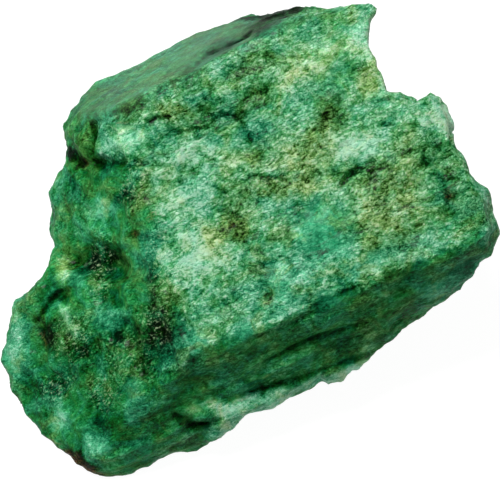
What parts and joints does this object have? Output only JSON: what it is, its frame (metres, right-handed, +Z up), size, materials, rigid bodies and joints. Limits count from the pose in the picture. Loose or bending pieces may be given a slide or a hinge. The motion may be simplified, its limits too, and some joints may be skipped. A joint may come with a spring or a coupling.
{
  "type": "raw emerald crystal",
  "caption": "Rough emerald specimen: a broken piece of a six-sided prism with an etched broad face, a smooth bevel, a shaded side face and a lobed broken end, lying on a flat base.",
  "frame": {"origin": "bottom middle of the stone's box, on the surface that the stone lies on", "axes": "+Z up out of that surface, through the thinnest direction; +X to the right along the stone's length, +Y away from the shaded face"},
  "size_m": [0.06, 0.0558, 0.028],
  "materials": {
    "emerald": "natural beryl, cloudy emerald green: etched and sugary with a waxy shine on the broad face, glassy on the broken end, with olive stains and dark cracks"
  },
  "bodies": {
    "root": {"emerald_crystal": "emerald"}
  },
  "joints": []
}
